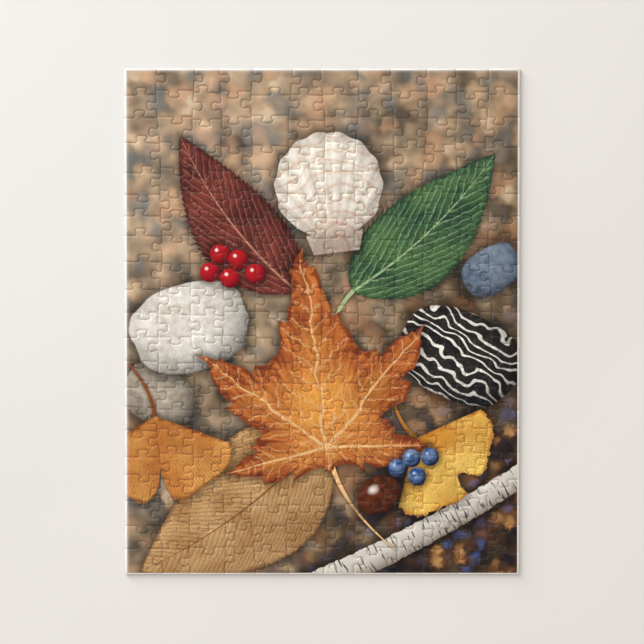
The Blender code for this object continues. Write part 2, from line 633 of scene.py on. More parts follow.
@dataclass
class PieceBlock:
    """The cut pieces that stand for one block of the frame."""

    node: str
    slot: str
    die: Die
    columns: range
    rows: range
    edge: EdgeProfile
    kerf: float = 0.04 * MM
    crown_step: float = 1.0 * MM
    crown_tolerance: float = 0.04 * MM
    crown_sampling: float = 0.1 * MM
    sparse_from: float = 0.5 * MM  # the rings further in than this keep every second point
    straight_angle: float = 0.1
    smooth_angle: float = 55.0
    level: float = 0.9
    print_start: float = 0.01 * MM

    def build(self, finishes: Sequence[bpy.types.Material]) -> bpy.types.Object:
        """Model the block's pieces.

        Args:
            finishes: The print and the board.

        Returns:
            The finished object, already riding on the frame.
        """
        block = self.flat_outlines()
        bpy.ops.object.convert(target="MESH")
        bpy.ops.object.mode_set(mode="EDIT")
        bpy.ops.mesh.select_all(action="SELECT")
        bpy.ops.mesh.remove_doubles(threshold=TINY)
        bpy.ops.mesh.dissolve_limited(angle_limit=math.radians(self.straight_angle))
        rise = (0, 0, self.edge.shoulder - self.edge.burr)
        bpy.ops.mesh.extrude_region_move(TRANSFORM_OT_translate={"value": rise})
        bpy.ops.mesh.select_all(action="SELECT")
        bpy.ops.mesh.normals_make_consistent(inside=False)
        self.select_faces(block, lambda face: face.normal.z > self.level)
        for inwards, upwards in self.edge.roll:
            bpy.ops.mesh.inset(thickness=inwards, depth=upwards)
        self.select_faces(block, lambda face: face.normal.z < -self.level)
        bpy.ops.mesh.inset(thickness=self.edge.burr, depth=self.edge.burr)
        bpy.ops.object.mode_set(mode="OBJECT")
        self.raise_crowns(block)
        self.dress(block, finishes)
        return block

    def flat_outlines(self) -> bpy.types.Object:
        """Lay out the pieces as one flat curve, and make it the active object."""
        bpy.ops.object.select_all(action="DESELECT")
        curve = bpy.data.curves.new(f"pieces_{self.node}", "CURVE")
        curve.dimensions = "2D"
        curve.fill_mode = "FRONT"
        for row in self.rows:
            for column in self.columns:
                outline = self.die.piece(column, row, self.kerf / 2)
                spline = curve.splines.new("POLY")
                spline.points.add(len(outline) - 1)
                for point, place in zip(spline.points, outline):
                    point.co = (place.x, place.y, 0, 1)
                spline.use_cyclic_u = True
        block = bpy.data.objects.new(curve.name, curve)
        bpy.context.scene.collection.objects.link(block)
        block.location.z = self.edge.burr
        bpy.context.view_layer.objects.active = block
        block.select_set(True)
        return block

    @staticmethod
    def select_faces(block: bpy.types.Object, wanted: Callable[[bpy.types.MeshPolygon], bool]) -> None:
        """Select faces in edit mode.

        Args:
            block: The object in edit mode.
            wanted: Says of a face whether it is selected.
        """
        bpy.ops.mesh.select_all(action="DESELECT")
        bpy.ops.object.mode_set(mode="OBJECT")
        for face in block.data.polygons:
            face.select = wanted(face)
        bpy.ops.object.mode_set(mode="EDIT")

    def raise_crowns(self, block: bpy.types.Object) -> None:
        """Let every piece's top rise gently from its rolled edge to its flat middle.

        The slope is wider than the knobs' necks leave room for, so its rings are filtered by their
        distance from the edge and netted together, where an inset would fold over itself.

        Args:
            block: The modelled object, with one face for each piece's top.
        """
        mesh = bmesh.new()
        mesh.from_mesh(block.data)
        highest = max(vertex.co.z for vertex in mesh.verts)
        tops = [face for face in mesh.faces if face.calc_center_median().z > highest - TINY]
        for top in tops:
            rim = [loop.vert for loop in top.loops]
            outline = [vertex.co.xy for vertex in reversed(rim)]
            points = self.crown_points(outline)
            flat = [vertex.co.xy for vertex in rim] + [point.xy for point in points]
            net = geometry.delaunay_2d_cdt(flat, [], [range(len(rim))], 1, 0.1 * TINY)
            mesh.faces.remove(top)
            added = [mesh.verts.new((*point.xy, highest + point.z)) for point in points]
            vertices = [(rim + added)[origins[0]] for origins in net[3]]
            for corners in net[2]:
                mesh.faces.new([vertices[corner] for corner in corners])
        mesh.to_mesh(block.data)
        mesh.free()

    def crown_points(self, outline: Sequence[Vector]) -> list[Vector]:
        """The points of a crown's rings, each with its height above the rolled edge.

        Args:
            outline: The inner end of the rolled edge, clockwise.

        Returns:
            The points that are as far from the outline as their ring should be.
        """
        edge = subdivided(outline, self.crown_sampling)
        outline = subdivided(outline, self.crown_step)
        tree = kdtree.KDTree(len(edge))
        for index, point in enumerate(edge):
            tree.insert(point.to_3d(), index)
        tree.balance()
        points = []
        inwards = rise = 0.0
        for step_in, step_up in self.edge.crown:
            inwards += step_in
            rise += step_up
            for point in inset(outline, inwards)[:: 2 if inwards > self.sparse_from else 1]:
                if abs(tree.find(point.to_3d())[2] - inwards) < self.crown_tolerance:
                    points.append(Vector((*point, rise)))
        return points

    def dress(self, block: bpy.types.Object, finishes: Sequence[bpy.types.Material]) -> None:
        """Place, shade and finish the block, and tie it to the frame.

        Args:
            block: The modelled object.
            finishes: The print and the board.
        """
        bpy.ops.object.transform_apply(location=True, rotation=True, scale=True)
        bpy.ops.object.shade_smooth_by_angle(angle=math.radians(self.smooth_angle))
        block.data.materials.clear()
        for finish in finishes:
            block.data.materials.append(finish)
        printed = self.edge.shoulder + self.print_start
        for face in block.data.polygons:
            face.material_index = 0 if face.center.z > printed else 1
        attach(block, BODY)
        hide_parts(self.node)


@dataclass
class Puzzle:
    """The whole sheet, block by block, as the frame has it."""

    block_columns: int = 2
    block_rows: int = 3

    def build(self) -> None:
        """Model and dress every block of the frame."""
        low, high = CAD_BOX
        die = Die(width=high[0] - low[0], height=high[1] - low[1])
        edge = EdgeProfile(thickness=high[2])
        sheet = (die.width / 2 / MM, die.height / 2 / MM)
        finishes = (
            PrintFinish(half_sheet=sheet, top=high[2]).make(),
            BoardFinish(shoulder=edge.shoulder).make(),
        )
        slots = {part["node"]: part["material_slot"] for part in frame["record"]["subparts"]}
        for block_row, top in enumerate(range(0, die.rows, self.block_rows), start=1):
            for block_column, left in enumerate(range(0, die.columns, self.block_columns), start=1):
                node = f"block_r{block_row}_c{block_column}"
                pieces = PieceBlock(
                    node=node,
                    slot=slots[node],
                    die=die,
                    columns=range(left, left + self.block_columns),
                    rows=range(top, top + self.block_rows),
                    edge=edge,
                )
                block = pieces.build(finishes)
                log.info("%s: %d faces", block.name, len(block.data.polygons))


# ---------------------------------------------------------------- the picture


class Canvas:
    """The paper while the picture is printed on it, layer over layer, in millimetres."""

    # The sizes of the shared textures' patches.
    BROAD = 30.0
    MIDDLE = 6.0
    FINE = 1.1
    NET = 2.6

    def __init__(self, shader: Shader) -> None:
        """Lay out the coordinates and the textures that the layers share.

        Args:
            shader: The print's shader.
        """
        self.shader = shader
        metres = shader.node("ShaderNodeTexCoord")["Object"]
        self.place = shader.scaled(metres, 1 / MM)
        self.axes = shader.node("ShaderNodeSeparateXYZ", {"Vector": self.place})
        self.x, self.y = self.axes["X"], self.axes["Y"]
        self.broad = shader.noise(self.place, self.BROAD)["Fac"].ramp(0.3, 0.7)
        middle = shader.noise(self.place, self.MIDDLE, detail=3.0, rough=0.6)["Fac"]
        self.middle = middle.ramp(0.28, 0.72)
        self.fine = shader.noise(self.place, self.FINE, detail=2.0)["Fac"]
        inputs = {"Vector": self.place, "Scale": 1 / self.NET}
        settings = {"voronoi_dimensions": "2D", "feature": "DISTANCE_TO_EDGE"}
        self.net = shader.node("ShaderNodeTexVoronoi", inputs, **settings)["Distance"].ramp(0.0, 0.14)
        self.color: Color = (1.0, 1.0, 1.0)

    def local(self, base: tuple[float, float], angle: float) -> tuple[Signal, Signal]:
        """Coordinates of a motif's own.

        Args:
            base: Where it starts.
            angle: The direction of its axis, in degrees from the right.

        Returns:
            The distances along its axis and across it.
        """
        cosine, sine = math.cos(math.radians(angle)), math.sin(math.radians(angle))
        back = -(base[0] * cosine + base[1] * sine)
        down = base[0] * sine - base[1] * cosine
        along = self.x.times_plus(cosine, self.y.times_plus(sine, back))
        across = self.x.times_plus(-sine, self.y.times_plus(cosine, down))
        return along, across

    def lay(self, color: Color, share: Number) -> None:
        """Print a colour over the picture.

        Args:
            color: The colour.
            share: Where and how densely.
        """
        self.color = self.shader.mix(share, self.color, color)

    def shade(self, share: Signal, depth: float) -> None:
        """Darken the picture.

        Args:
            share: Where and how fully.
            depth: How much of the light is gone at a share of 1.
        """
        self.color = self.shader.scaled(self.color, share.times_plus(-depth, 1.0))

    def edge(self, inside: Signal, blur: float = 0.3) -> Signal:
        """The share covered by a shape, from the distance inside its outline."""
        return inside.ramp(-blur, blur)


@dataclass(frozen=True)
class Gravel:
    """The ground: gravel out of focus, darker, browner and sharper towards the lower right."""

    pebble: float = 12.5
    near_pebble: float = 8.5
    stops: Sequence[tuple[float, str]] = (
        (0.10, "5f5448"),
        (0.34, "8c7a66"),
        (0.52, "a69078"),
        (0.70, "bfa385"),
        (0.92, "dac2a4"),
    )
    near_stops: Sequence[tuple[float, str]] = (
        (0.15, "17131a"),
        (0.45, "33241d"),
        (0.68, "5a3826"),
        (0.82, "8c5f38"),
        (0.96, "b98a55"),
    )
    near_blue: str = "3d5a94"
    slate: str = "72787a"
    peach: str = "d2a581"
    earth: str = "725a32"
    dusk: str = "1f2740"
    ember: str = "8a4a26"
    fall: tuple[float, float] = (0.75, -0.65)
    span: tuple[float, float] = (-150.0, 205.0)
    patch: float = 15.0
    slate_share: float = 0.66
    peach_share: float = 0.55
    earth_share: float = 0.6
    ember_share: float = 0.5
    dusk_share: float = 0.75
    near_blue_share: float = 0.7
    near_share: float = 0.85
    gap_depth: float = 0.34
    near_gap_depth: float = 0.65
    warp: float = 0.7

    def paint(self, canvas: Canvas) -> None:
        """Print the ground."""
        shader = canvas.shader
        low = canvas.x.times_plus(self.fall[0], canvas.y * self.fall[1]).ramp(*self.span)
        pebbles, tones = self.pebbles(canvas, self.pebble)
        soft = shader.noise(canvas.place, self.patch, detail=1.0)["Fac"]
        contrast = low.times_plus(0.9, 0.62)
        tone = (tones["Red"].times_plus(0.9, soft * 1.2) - 1.05) * contrast
        tone = tone.times_plus(1.0, low.times_plus(-0.20, 0.57))
        stops = [(place, paint(code)) for place, code in self.stops]
        color = shader.node("ShaderNodeValToRGB", {"Fac": tone}, stops=stops)["Color"]
        blue = soft.times_plus(-0.9, tones["Green"] + 0.45)
        grey = blue.ramp(0.40, 0.95) * low.times_plus(-0.5, self.slate_share)
        color = shader.mix(grey, color, paint(self.slate))
        warm = soft.times_plus(0.9, tones["Blue"] - 0.45)
        color = shader.mix(warm.ramp(0.40, 1.05) * self.peach_share, color, paint(self.peach))
        color = shader.mix(low * self.earth_share, color, paint(self.earth))
        gaps = pebbles["Distance"].ramp(0.22, 0.80) * contrast
        canvas.color = shader.scaled(color, gaps.times_plus(-self.gap_depth, 1.04))
        canvas.lay(paint(self.ember), low * warm.ramp(0.40, 0.85) * self.ember_share)
        canvas.lay(paint(self.dusk), low.ramp(0.45, 1.0) * blue.ramp(0.38, 0.75) * self.dusk_share)
        near, near_tones = self.pebbles(canvas, self.near_pebble)
        stops = [(place, paint(code)) for place, code in self.near_stops]
        color = shader.node("ShaderNodeValToRGB", {"Fac": near_tones["Red"]}, stops=stops)["Color"]
        bluish = near_tones["Green"].ramp(0.68, 0.96) * self.near_blue_share
        color = shader.mix(bluish, color, paint(self.near_blue))
        gaps = near["Distance"].ramp(0.0, 0.7)
        color = shader.scaled(color, gaps.times_plus(-self.near_gap_depth, 1.2))
        canvas.lay(color, low.ramp(0.70, 0.98) * self.near_share)

    def pebbles(self, canvas: Canvas, size: float) -> tuple[Outputs, Outputs]:
        """Lay out pebbles that run into each other.

        Args:
            canvas: The paper.
            size: The size of a pebble.

        Returns:
            Their cells, and each one's random tones.
        """
        wobble = canvas.shader.noise(canvas.place, size * 0.6)["Color"]
        bent = {0: wobble, 1: (size * self.warp,) * 3, 2: canvas.place}
        place = canvas.shader.node("ShaderNodeVectorMath", bent, operation="MULTIPLY_ADD")[0]
        inputs = {"Vector": place, "Scale": 1 / size, "Smoothness": 1.0}
        settings = {"voronoi_dimensions": "2D", "feature": "SMOOTH_F1"}
        cells = canvas.shader.node("ShaderNodeTexVoronoi", inputs, **settings)
        return cells, canvas.shader.node("ShaderNodeSeparateColor", {"Color": cells["Color"]})


def lit_side(angle: float) -> float:
    """1 if the left half of a motif that points in this direction faces the light, else -1."""
    return 1.0 if math.cos(math.radians(angle - LIGHT_ANGLE + 90)) > 0 else -1.0


@dataclass(frozen=True)
class LeafColors:
    """The colours of a leaf."""

    dark: str
    light: str
    vein: str
    margin: str


@dataclass(frozen=True, kw_only=True)
class Leaf:
    """What every leaf has: a place, its colours and a stalk."""

    base: tuple[float, float]
    angle: float
    colors: LeafColors
    stalk: float = 26.0
    stalk_bend: float = 0.010
    stalk_width: float = 1.5
    vein_strength: float = 0.55
    stalk_taper: float = 0.02
    stalk_overlap: float = 6.0
    stalk_shadow: float = 0.45
    net_depth: float = 0.14
    grain: float = 0.5
    wither: float = 3.0
    margin_share: float = 0.7
    shadow: float = 7.0
    shadow_depth: float = 0.62

    def cast(self, canvas: Canvas, inside: Signal) -> None:
        """Print the soft shadow of a shape on what lies under it.

        Args:
            canvas: The paper.
            inside: The distance inside the shape's outline.
        """
        canvas.shade(inside.ramp(-self.shadow, 1.5), self.shadow_depth)

    def paint_stalk(self, canvas: Canvas, along: Signal, across: Signal) -> None:
        """Print the stalk, curved away from the leaf's axis.

        Args:
            canvas: The paper.
            along: The distance from the leaf's foot along its axis.
            across: The distance across it.
        """
        away = abs((along * along).times_plus(self.stalk_bend, across))
        inside = along.times_plus(self.stalk_taper, self.stalk_width) - away
        inside = inside.least(along + self.stalk).least(along * -1 + self.stalk_overlap)
        canvas.shade(inside.ramp(-2.6, 0.4), self.stalk_shadow)
        canvas.lay(paint(self.colors.vein), canvas.edge(inside))

    def paint_blade(self, canvas: Canvas, inside: Signal, color: Signal) -> None:
        """Print the blade, with its finest veins, its specks and its withered margin.

        Args:
            canvas: The paper.
            inside: The distance inside the blade's outline.
            color: Its colour so far.
        """
        shader = canvas.shader
        light = canvas.fine.times_plus(self.grain, 0.82)
        color = shader.scaled(color, canvas.net.times_plus(-self.net_depth, light))
        specks = (canvas.fine + canvas.middle * 0.22).ramp(0.76, 0.84)
        rim = canvas.middle.times_plus(-self.wither, inside).ramp(1.4, -1.6).most(specks)
        color = shader.mix(rim * self.margin_share, color, paint(self.colors.margin))
        canvas.lay(color, canvas.edge(inside))


@dataclass(frozen=True, kw_only=True)
class FeatherVeinedLeaf(Leaf):
    """A leaf with one midrib and veins that branch off it on both sides."""

    length: float
    width: float
    bend: float
    veins: float = 11.0
    slope: float = 0.16
    teeth: float = 0.08
    teeth_count: float = 30.0
    teeth_lean: float = 0.12
    fullness: float = 0.72
    roundness: float = 0.85
    wander: float = 0.22
    quilting: float = 0.34
    curl: float = 0.30

    def paint(self, canvas: Canvas) -> None:
        """Print the leaf over its shadow."""
        shader = canvas.shader
        along, straight = canvas.local(self.base, self.angle)
        share = (along / self.length).clamped()
        beyond = abs(share.times_plus(-self.length, along))
        across = (share * (1 - share)).times_plus(4 * self.bend, straight)
        away = abs(across)
        half = ((share**self.fullness) * math.pi).sine() ** self.roundness * (self.width / 2)
        notch = share.times_plus(self.teeth_count, away * -self.teeth_lean).fraction()
        inside = half * notch.times_plus(self.teeth, 1 - self.teeth) - away - beyond
        self.cast(canvas, inside)
        self.paint_stalk(canvas, along, across)
        wander = canvas.middle.times_plus(self.wander, away * away * (-self.slope / self.width))
        cell = share.times_plus(self.veins, away.times_plus(-self.slope, wander)).fraction()
        tone = canvas.broad.times_plus(0.45, canvas.middle.times_plus(0.3, cell * 0.25))
        color = shader.mix(tone, paint(self.colors.dark), paint(self.colors.light))
        light = across.times_plus(self.curl * lit_side(self.angle) / self.width, 1 - self.quilting / 2)
        color = shader.scaled(color, cell.times_plus(self.quilting, light))
        vein = abs(cell - 0.5).ramp(0.38, 0.49) * inside.ramp(0.3, 6.0)
        rib = share.times_plus(0.8, away).ramp(1.25, 0.55)
        color = shader.mix((vein * self.vein_strength).most(rib), color, paint(self.colors.vein))
        self.paint_blade(canvas, inside, color)


@dataclass(frozen=True)
class Lobe:
    """One lobe of a hand-shaped leaf, with its axis turned from the leaf's own."""

    angle: float
    length: float
    width: float


@dataclass(frozen=True, kw_only=True)
class HandShapedLeaf(Leaf):
    """A maple leaf: pointed lobes that spread from the end of the stalk, alike on both sides."""

    lobes: Sequence[Lobe]
    palm: tuple[float, float]
    heart: str
    teeth: float = 3.4
    teeth_depth: float = 0.42
    web: float = 12.0
    warp: float = 5.0
    streaks: float = 20.0
    veins_per_tooth: int = 3

    def paint(self, canvas: Canvas) -> None:
        """Print the leaf over its shadow."""
        shader = canvas.shader
        along, straight = canvas.local(self.base, self.angle)
        across = canvas.broad.times_plus(self.warp, straight) - self.warp / 2
        folded = abs(across)
        middle, radius = self.palm
        off = along - middle
        inside = radius - (off * off + folded * folded) ** 0.5
        veins: Number = 0.0
        ribs: Number = 0.0
        for lobe in self.lobes:
            lobe_inside, rib, branch = self.lobe_fields(canvas, lobe, along, folded)
            inside = shader.math("SMOOTH_MAX", inside, lobe_inside, self.web)
            ribs = shader.math("MAXIMUM", rib, ribs)
            veins = shader.math("MAXIMUM", branch, veins)
        self.cast(canvas, inside)
        self.paint_stalk(canvas, along, straight)
        reach = (along * along + across * across) ** 0.5
        turn = shader.math("ARCTAN2", across, along)
        spoke = shader.node("ShaderNodeCombineXYZ", {"X": turn * self.streaks, "Y": reach * 0.03})[0]
        streaks = shader.noise(spoke, 1.0, detail=3.0)["Fac"]
        tone = canvas.broad.times_plus(0.4, streaks.times_plus(1.6, -0.5)).clamped()
        color = shader.mix(tone, paint(self.colors.dark), paint(self.colors.light))
        warm = inside.times_plus(0.03, reach * -0.006).times_plus(1.0, canvas.middle * 0.3).clamped()
        color = shader.mix(warm, color, paint(self.heart))
        color = shader.scaled(color, streaks.times_plus(0.5, 0.78))
        lines = shader.math("MAXIMUM", veins * self.vein_strength, ribs)
        self.paint_blade(canvas, inside, shader.mix(lines, color, paint(self.colors.vein)))

    def lobe_fields(
        self, canvas: Canvas, lobe: Lobe, along: Signal, folded: Signal
    ) -> tuple[Signal, Signal, Signal]:
        """Work out one lobe, and with it its mirror image.

        Args:
            canvas: The paper.
            lobe: The lobe.
            along: The distance along the leaf's axis.
            folded: The distance from that axis.

        Returns:
            The distance inside the lobe's outline, its rib and the veins that branch off the rib.
        """
        cosine, sine = math.cos(math.radians(lobe.angle)), math.sin(math.radians(lobe.angle))
        out = along.times_plus(cosine, folded * sine)
        away = abs(folded.times_plus(cosine, along * -sine))
        share = (out / lobe.length).clamped()
        beyond = abs(share.times_plus(-lobe.length, out))
        notch = share.times_plus(self.teeth, away * (-1.5 / lobe.length)).fraction()
        taper = share.times_plus(0.75, 0.55).least(share.times_plus(-1.9, 1.9))
        half = taper * notch.times_plus(self.teeth_depth, 0.72) * lobe.width
        inside = half - away - beyond
        rib = share.times_plus(0.9, away).ramp(1.5, 0.7) * (1 - beyond).clamped()
        slant = away.times_plus(-9.0 / lobe.length, canvas.middle * 0.25)
        cell = share.times_plus(self.teeth * self.veins_per_tooth, slant).fraction()
        branch = abs(cell - 0.5).ramp(0.40, 0.49) * inside.ramp(0.0, 4.0)
        return inside, rib, branch


@dataclass(frozen=True, kw_only=True)
class FanLeaf(Leaf):
    """A ginkgo leaf: a fan of fine veins with a split in its middle."""

    radius: float
    spread: float = 1.12
    rays: float = 26.0
    ray_depth: float = 0.18
    split: float = 0.42
    folds: float = 7.0
    fold_depth: float = 0.10
    raggedness: float = 2.5

    def paint(self, canvas: Canvas) -> None:
        """Print the leaf over its shadow."""
        shader = canvas.shader
        along, across = canvas.local(self.base, self.angle)
        reach = (along * along + across * across) ** 0.5
        turn = shader.math("ARCTAN2", across, along)
        wide = abs(turn)
        wave = (wide * 9.0).sine().times_plus(1.6, (wide * 2.6).sine() * 4.0)
        edge = canvas.middle.times_plus(self.raggedness, wave + (self.radius - 5.0))
        split = canvas.broad.times_plus(-0.1, wide).ramp(0.11, -0.05) * (self.radius * self.split)
        inside = (edge - split - reach).least((self.spread - wide) * reach)
        self.cast(canvas, inside)
        self.paint_stalk(canvas, along, across)
        ray = turn.times_plus(self.rays, canvas.broad * 0.8).fraction()
        fold = (turn * self.folds).sine() * reach * (self.fold_depth / self.radius)
        tone = canvas.broad.times_plus(0.6, reach * (0.45 / self.radius)).clamped()
        color = shader.mix(tone, paint(self.colors.dark), paint(self.colors.light))
        color = shader.scaled(color, ray.times_plus(self.ray_depth, fold + 0.90))
        line = abs(ray - 0.5).ramp(0.34, 0.5) * self.vein_strength
        self.paint_blade(canvas, inside, shader.mix(line, color, paint(self.colors.vein)))


@dataclass(frozen=True)
class Stone:
    """A smooth stone or a chestnut, lit from the upper left."""

    middle: tuple[float, float]
    angle: float
    half_length: float
    half_width: float
    dark: str
    light: str
    band: str | None = None
    bands: float = 0.15
    shine: float = 0.0
    shine_color: tuple[float, float, float] = (1.0, 0.9, 0.8)
    shine_offset: float = 0.42
    squareness: float = 2.5
    unevenness: float = 4.0
    roundness: float = 0.36
    dimness: float = 0.45
    shadow: float = 9.0
    shadow_depth: float = 0.68

    def paint(self, canvas: Canvas) -> None:
        """Print the stone over its shadow."""
        shader = canvas.shader
        along, across = canvas.local(self.middle, self.angle)
        along = canvas.broad.times_plus(self.unevenness, along - self.unevenness / 2)
        long_share, wide_share = along * (1 / self.half_length), across * (1 / self.half_width)
        bulk = abs(long_share) ** self.squareness + abs(wide_share) ** self.squareness
        reach = bulk ** (1 / self.squareness)
        inside = (1 - reach) * min(self.half_length, self.half_width)
        canvas.shade(inside.ramp(-self.shadow, 0.5), self.shadow_depth)
        tone = canvas.broad.times_plus(0.4, canvas.middle * 0.6)
        color = shader.mix(tone, paint(self.dark), paint(self.light))
        if self.band:
            wave = canvas.broad.times_plus(9.0, along.times_plus(0.12, across))
            width = canvas.middle.times_plus(-0.07, abs((wave * self.bands).fraction() - 0.5))
            color = shader.mix(width.ramp(0.31, 0.37), color, paint(self.band))
        # The light's direction in the stone's own axes.
        toward = math.radians(LIGHT_ANGLE - self.angle)
        lit_along, lit_across = math.cos(toward), math.sin(toward)
        facing = long_share.times_plus(lit_along, wide_share * lit_across)
        light = (facing * reach).times_plus(self.roundness, canvas.fine.times_plus(0.4, 0.80))
        color = shader.scaled(color, (bulk * reach).times_plus(-self.dimness, light))
        if self.shine:
            spot_x = long_share - self.shine_offset * lit_along
            spot_y = wide_share - self.shine_offset * lit_across
            spot = (spot_x * spot_x + spot_y * spot_y) ** 0.5
            color = shader.mix(spot.ramp(0.34, 0.02) * self.shine, color, self.shine_color)
        canvas.lay(color, canvas.edge(inside, 0.5))


@dataclass(frozen=True)
class Shell:
    """A scallop shell from above: a ribbed fan with small ears beside its hinge."""

    hinge: tuple[float, float]
    angle: float
    radius: float
    spread: float = 0.98
    hollow: float = 0.54  # where the disc's middle lies, as a share of the radius
    ribs: float = 10.0
    rib_depth: float = 0.16
    ears: tuple[float, float] = (17.0, 11.0)
    rings: float = 0.11
    ring_share: float = 0.34
    shadow: float = 9.0
    shadow_depth: float = 0.66
    dark: str = "d6c8b4"
    light: str = "f1ece2"
    band: str = "c98f70"

    def paint(self, canvas: Canvas) -> None:
        """Print the shell over its shadow."""
        shader = canvas.shader
        along, across = canvas.local(self.hinge, self.angle)
        reach = (along * along + across * across) ** 0.5
        turn = shader.math("ARCTAN2", across, along)
        rib_turns = self.ribs * math.tau / 2
        rib = (turn * rib_turns).sine()
        middle = self.radius * self.hollow
        off = along - middle
        from_middle = (off * off + across * across) ** 0.5
        disc = rib.times_plus(0.7, self.radius - middle) - from_middle
        ear = along.times_plus(0.3, self.ears[0] - abs(across))
        ear = ear.least(self.ears[1] - along).least(along + 3.0)
        inside = disc.least((self.spread - abs(turn)) * reach).most(ear)
        canvas.shade(inside.ramp(-self.shadow, 1.0), self.shadow_depth)
        rings = reach.times_plus(self.rings, canvas.broad * 0.8).fraction()
        stripe = abs(rings - 0.5).ramp(0.30, 0.48)
        color = shader.mix(canvas.middle * 0.7, paint(self.light), paint(self.dark))
        foot = reach.ramp(self.radius * 0.45, 0.0)
        color = shader.mix(stripe.times_plus(self.ring_share, foot * 0.4), color, paint(self.band))
        toward = math.radians(LIGHT_ANGLE - self.angle)
        share = 1 / (self.radius - middle)
        facing = off.times_plus(math.cos(toward) * share, across * (math.sin(toward) * share))
        light = facing.times_plus(0.12, canvas.fine.times_plus(0.3, 0.86))
        side = (turn * rib_turns).times_plus(1.0, 1.2 * math.copysign(1, math.sin(toward)))
        groove = reach.ramp(4.0, self.radius * 0.5) * -self.rib_depth
        light = (side.sine() ** 3.0).times_plus(groove, light)
        rim = from_middle.ramp(0.7 / share, 1.05 / share)
        color = shader.scaled(color, rim.times_plus(-0.30, light))
        canvas.lay(color, canvas.edge(inside))


@dataclass(frozen=True)
class Berries:
    """Round berries, each over the ones before it and lit from the upper left."""

    middles: Sequence[tuple[float, float]]
    radius: float
    dark: str
    light: str
    shine: str
    bloom: float = 0.0
    shine_place: tuple[float, float] = (0.34, 0.38)  # to the left and up, as shares of the radius
    shine_size: tuple[float, float] = (0.26, 0.06)
    shadow: float = 5.0
    shadow_depth: float = 0.6
    overlap: float = 0.2

    def paint(self, canvas: Canvas) -> None:
        """Print the berries over their shadows."""
        shader = canvas.shader
        offset, nearest = self.nearest(canvas)
        axes = shader.node("ShaderNodeSeparateXYZ", {"Vector": offset})
        x, y = axes["X"], axes["Y"]
        reach = (x * x + y * y) ** 0.5 * (1 / self.radius)
        inside = self.radius - nearest
        canvas.shade(inside.ramp(-self.shadow, 0.0), self.shadow_depth)
        facing = x.times_plus(-0.6 / self.radius, y * (0.7 / self.radius))
        tone = facing.times_plus(0.45, (reach * reach).times_plus(-0.40, 0.6)).clamped()
        color = shader.mix(tone, paint(self.dark), paint(self.light))
        if self.bloom:
            color = shader.mix(canvas.middle * self.bloom * tone, color, paint(self.shine))
        left, up = self.shine_place
        spot_x, spot_y = x + left * self.radius, y - up * self.radius
        spot = (spot_x * spot_x + spot_y * spot_y) ** 0.5
        dull, bright = self.shine_size
        color = shader.mix(spot.ramp(dull * self.radius, bright * self.radius), color, paint(self.shine))
        canvas.lay(color, canvas.edge(inside))

    def nearest(self, canvas: Canvas) -> tuple[Signal, Signal]:
        """Find the berry that covers a point.

        Args:
            canvas: The paper.

        Returns:
            The point as seen from that berry's middle, and its distance from the nearest middle.
        """
        shader = canvas.shader
        offset = nearest = None
        for across, up in self.middles:
            inputs = {0: canvas.place, 1: (across, up, 0.0)}
            local = shader.node("ShaderNodeVectorMath", inputs, operation="SUBTRACT")[0]
            local = shader.node("ShaderNodeVectorMath", {0: local, 1: (1, 1, 0)}, operation="MULTIPLY")[0]
            distance = shader.node("ShaderNodeVectorMath", {0: local}, operation="LENGTH")["Value"]
            if nearest is None:
                offset, nearest = local, distance
            else:
                covered = shader.math("LESS_THAN", distance, self.radius + self.overlap)
                offset, nearest = shader.mix(covered, offset, local), nearest.least(distance)
        return offset, nearest


@dataclass(frozen=True)
class BirchTwig:
    """A length of birch: white bark with dark dashes across it."""

    base: tuple[float, float]
    angle: float
    length: float
    half_width: float
    bend: float = 6.0
    taper: float = 0.25
    bark: str = "ebe6dc"
    shade_side: str = "84796c"
    dash: str = "2a221d"
    dash_size: tuple[float, float] = (0.55, 0.09)
    dash_share: float = 0.85
    roundness: float = 0.45
    shadow: float = 9.0
    shadow_depth: float = 0.62

    def paint(self, canvas: Canvas) -> None:
        """Print the twig over its shadow."""
        shader = canvas.shader
        along, straight = canvas.local(self.base, self.angle)
        share = (along / self.length).clamped()
        across = (share * (1 - share)).times_plus(4 * self.bend, straight)
        taper = share.times_plus(-self.taper * self.half_width, self.half_width)
        inside = canvas.middle.times_plus(1.0, taper - abs(across))
        canvas.shade(inside.ramp(-self.shadow, 1.0), self.shadow_depth)
        side = across * (1 / self.half_width)
        lit = self.roundness * lit_side(self.angle)
        tone = side.times_plus(lit, 0.66 - side * side * 0.25).clamped()
        color = shader.mix(tone, paint(self.shade_side), paint(self.bark))
        axes = {"X": along * self.dash_size[0], "Y": across * self.dash_size[1]}
        place = shader.node("ShaderNodeCombineXYZ", axes)[0]
        dashes = shader.noise(place, 1.0, detail=2.0)["Fac"].ramp(0.60, 0.68)
        color = shader.mix(dashes * self.dash_share, color, paint(self.dash))
        color = shader.scaled(color, canvas.fine.times_plus(0.4, 0.8))
        canvas.lay(color, canvas.edge(inside))


RUST = LeafColors(dark="8e3f1c", light="cf7a3d", vein="f0c389", margin="6a2015")
MAROON = LeafColors(dark="431a1b", light="8f463c", vein="c58a72", margin="2c1210")
GREEN = LeafColors(dark="123c34", light="5d8350", vein="a9c290", margin="1c2a28")
TAN = LeafColors(dark="a1733f", light="d9b280", vein="80552b", margin="74492a")
GOLD = LeafColors(dark="d8902e", light="f3cf6c", vein="b9782a", margin="a8601f")
OCHRE = LeafColors(dark="b5662a", light="e2a457", vein="8c4a1c", margin="6e3318")


